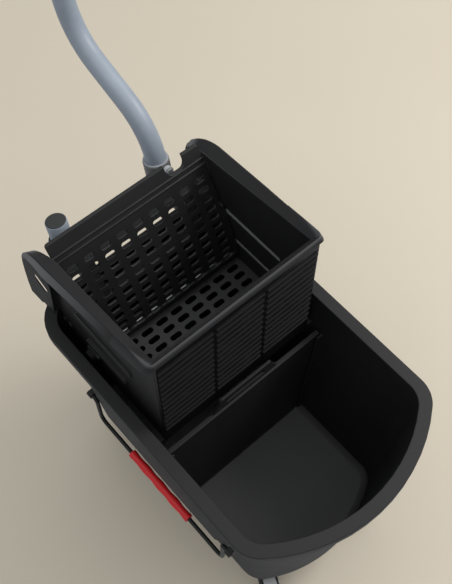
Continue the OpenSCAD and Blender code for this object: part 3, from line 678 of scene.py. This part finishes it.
# Pivot rod: a bright plated steel rod through both cheeks, on which the jaw turns.
# Black moulded caps are pushed over its ends, and four screws with blackened heads
# hold the cheeks to the rear beam.
bright_steel = moulded("bright_steel", linear(190, 192, 195), linear(220, 222, 224), 0.3,
                       grain=900.0, depth=2e-5, Metallic=1.0)
softened("pivot_rod", bright_steel, 0.0003)
softened("beam_screws", wringer_black, 0.0003)
softened("rod_caps", wringer_black, 0.0005)

# Guide strips: grey nylon strips that the jaw's edges run along. They are pressed
# into the cheeks' grooves and lie flush with the chamber's sides.
nylon_grey = moulded("nylon_grey", linear(150, 150, 151), linear(170, 170, 171), 0.4,
                     Specular_IOR_Level=0.3)
chamber_side = 0.1165
strip_depth, strip_rest, strip_play = 0.0034, 0.0002, 0.0003
strip_break, strip_taper = 0.0006, 0.92
strip_layers = [(strip_rest, strip_taper), (strip_rest + strip_break, 1.0), (strip_depth, 1.0)]
strip_steps, strip_angle = 12, math.radians(40.0)
rod_radius, crest_margin = 0.005, 0.0045
pivot_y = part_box("pivot_rod")[0][1] + rod_radius
top_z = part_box("louvre_front")[1][2] - crest_margin


def guide_strip(name, side, start, end, height, half):
    """A strip with round ends: its outline in y and z, swept through the cheek."""
    half -= strip_play
    outline = round_ended(start, end, height, half, strip_steps)
    n, middle = len(outline), (start + end) / 2
    points = []
    for depth, part in strip_layers:
        shorter = 1 - (1 - part) * half / (end - start)
        for y, z in outline:
            points.append((side * (chamber_side + depth), middle + (y - middle) * shorter,
                           height + (z - height) * part))
    faces = [list(range(n)), list(range(len(points) - 1, len(points) - n - 1, -1))]
    for layer in range(len(strip_layers) - 1):
        for k in range(n):
            a, b = layer * n + k, layer * n + (k + 1) % n
            faces.append((a, a + n, b + n, b))
    strip = mesh_piece(name, points, [tuple(reversed(f)) if side < 0 else tuple(f) for f in faces])
    strip.data.set_sharp_from_angle(angle=strip_angle)
    strip.data.materials.append(nylon_grey)
    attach(strip, frame["nodes"]["left_cheek"]["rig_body"])


strip_rows = (("upper", 0.085, 0.020, 0.102, 0.004), ("lower", 0.068, 0.006, 0.150, 0.0035))
for hand, side in (("left", -1.0), ("right", 1.0)):
    for row, ahead, behind, down, half in strip_rows:
        guide_strip("guide_strip_" + row + "_" + hand, side,
                    pivot_y - ahead, pivot_y + behind, top_z - down, half)

# Press: the jaw, a bent plate with ten rows of slots, and behind it the yoke with two
# leaning tube sockets. Both are moulded in black plastic. The yoke fits the plate's
# curve, and they turn together on the pivot rod at the jaw's foot.
press_black = moulded("press_black", linear(29, 29, 30), linear(64, 64, 65), 0.42,
                      grain=wringer_grain, Specular_IOR_Level=0.36)
jaw_low, jaw_high = (Vector(end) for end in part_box("press_jaw"))
slot_slope, jaw_round = 0.0024, 0.004
slots_from, slots_to, slots_side = jaw_low.z + 0.022, jaw_high.z - 0.030, jaw_high.x - 0.003
edge_on, backwards = 0.15, 0.4
jaw_slack = 0.0005


def jaw_details(work):
    """The slots slope down through the leaning plate, and the top corners are rounded."""
    for v in work.verts:
        if slots_from < v.co.z < slots_to and abs(v.co.x) < slots_side:
            walls = [f for f in v.link_faces if abs(f.normal.y) < edge_on]
            backs = [f for f in v.link_faces if f.normal.y > backwards]
            if walls and backs:
                n = backs[0].normal
                v.co += Vector((0.0, n.z, -n.y)) * slot_slope
    ends = [e for e in work.edges
            if all(v.co.z > jaw_high.z - jaw_slack and abs(v.co.x) > jaw_high.x - jaw_slack
                   for v in e.verts)]
    bmesh.ops.bevel(work, geom=ends, offset=jaw_round, segments=5, profile=0.5,
                    affect="EDGES", clamp_overlap=True)


softened("press_jaw", press_black, 0.0005, reshape=jaw_details)
spare_end = next(m for m in frame["record"]["mounts"] if m["name"] == "spare_post_end")
post_foot, post_way = Vector(spare_end["pos_m"]), Vector(spare_end["axis"])
socket_cut, socket_inner, socket_top = 0.012, 0.05, 0.006


def lower_left_socket(work):
    """The left socket ends lower than the right one, and leaves the spare post bare."""
    for v in work.verts:
        along = (v.co - post_foot).dot(post_way)
        if v.co.x < -socket_inner and along > -socket_top:
            v.co -= post_way * socket_cut


softened("press_yoke", press_black, 0.0008, reshape=lower_left_socket)

# Spare post: a short steel tube, painted grey-blue, that is pressed into the left
# socket. A dark moulded plug with a low dome closes its end.
tube_paint = moulded("tube_paint", linear(152, 162, 174), linear(176, 184, 193), 0.42,
                     grain=700.0, depth=5e-5)
plug_grey = moulded("plug_grey", linear(52, 53, 53), linear(70, 71, 72), 0.5,
                    Specular_IOR_Level=0.3)
post_radius = (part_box("spare_post")[1][0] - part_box("spare_post")[0][0]) / 2
post_wall, post_rise, post_length = 0.0015, 0.0055, 0.05
post_bore = post_radius - post_wall
outer_break, bore_break = 0.0004, 0.0005
turned_steps, turned_merge = 64, 1e-6


def turned(name, foot, way, profile, finish):
    """A piece turned about an axis from (radius, distance along the axis) points."""
    across = way.orthogonal().normalized()
    third = way.cross(across)
    points, faces = [], []
    for k in range(turned_steps):
        a = 2 * math.pi * k / turned_steps
        out = across * math.cos(a) + third * math.sin(a)
        points += [foot + out * r + way * t for r, t in profile]
    n = len(profile)
    for k in range(turned_steps):
        for i in range(n - 1):
            a, b = k * n + i, (k + 1) % turned_steps * n + i
            faces.append((a, b, b + 1, a + 1))
    return faced(mesh_piece(name, points, faces), finish, turned_merge)


post_profile = [
    (post_bore, -post_length), (post_radius, -post_length),
    (post_radius, post_rise - outer_break), (post_radius - outer_break, post_rise),
    (post_bore, post_rise - bore_break), (post_bore, -post_length)]
dress(turned("made_spare_post", post_foot, post_way, post_profile, tube_paint), "spare_post")
plug_depth, plug_radius = 0.012, post_bore - 0.0002
plug_dome = ((0.0009, 0.0001), (0.0005, 0.0007), (-0.0008, 0.0010), (-post_bore, 0.0012))
plug_profile = [(0.0, -plug_depth), (plug_radius, -plug_depth),
                (plug_radius, post_rise - outer_break)]
plug_profile += [(post_bore + out, post_rise + up) for out, up in plug_dome]
dress(turned("made_post_cap", post_foot, post_way, plug_profile, plug_grey), "post_cap")

# Lever: a bent steel tube with the post's grey-blue paint, which stands in a grey
# moulded collar on the right socket. A pale ring and clamp screw hold it there, and
# a dark grip is pushed over its upper end.
collar_grey = moulded("collar_grey", linear(114, 114, 115), linear(140, 140, 140), 0.5)
ring_grey = moulded("ring_grey", linear(156, 160, 164), linear(180, 183, 186), 0.45)
pale_grey = moulded("pale_grey", linear(188, 191, 193), linear(210, 212, 213), 0.45)
softened("lever_collar", collar_grey, 0.0006)
softened("collar_ring", ring_grey, 0.0004)
softened("lever_lock", pale_grey, 0.0006)
softened("lever_tube", tube_paint, 0.0)
softened("lever_grip", plug_grey, 0.0004)

# Bails: a hoop of black coated wire on each side, sprung into the bucket's lugs.
# A red plastic grip, waisted for four fingers, is moulded round each.
wire_black = moulded("wire_black", linear(22, 22, 23), linear(60, 60, 61), 0.38,
                     Specular_IOR_Level=0.3)
grip_red = moulded("grip_red", linear(214, 34, 40), linear(222, 74, 76), 0.4,
                   Specular_IOR_Level=0.4)
finger_dip, fingers = 0.0009, 4
grip_steps, grip_margin = 80, 0.02
grip_bore, end_face, end_edge, end_break = 0.55, 0.0012, 0.0003, 0.0004
grip_way = Vector((0.0, 1.0, 0.0))
for side in ("left", "right"):
    softened("bail_wire_" + side, wire_black, 0.0)
    low, high = (Vector(end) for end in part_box("bail_grip_" + side))
    radius, length = (high.x - low.x) / 2, high.y - low.y
    profile = [(radius * grip_bore, 0.0), (radius - end_face, 0.0), (radius - end_edge, end_break)]
    for k in range(grip_steps + 1):
        t = grip_margin + (1 - 2 * grip_margin) * k / grip_steps
        dip = finger_dip * (0.5 - 0.5 * math.cos(2 * math.pi * fingers * t))
        profile.append((radius - dip, length * t))
    profile += [(radius - end_edge, length - end_break), (radius - end_face, length),
                (radius * grip_bore, length)]
    foot = Vector(((low.x + high.x) / 2, low.y, (low.z + high.z) / 2))
    grip = turned("made_bail_grip_" + side, foot, grip_way, profile, grip_red)
    dress(grip, "bail_grip_" + side)

# Castors: a plated steel stem pressed into each boss under the bucket, a black moulded
# fork that swivels on it, and a plated axle. On the axle turns a grey moulded hub with
# a pale rubber tyre.
hub_grey = moulded("hub_grey", linear(120, 121, 122), linear(150, 150, 150), 0.5)
tyre_grey = moulded("tyre_grey", linear(176, 178, 180), linear(160, 160, 160), 0.62, grain=1100.0)
for place in ("front_left", "front_right", "back_left", "back_right"):
    softened("castor_stem_" + place, bright_steel, 0.0004)
    softened("castor_axle_" + place, bright_steel, 0.0004)
    softened("castor_fork_" + place, wringer_black, 0.0006)
    softened("castor_hub_" + place, hub_grey, 0.0004)
    softened("castor_tyre_" + place, tyre_grey, 0.0)
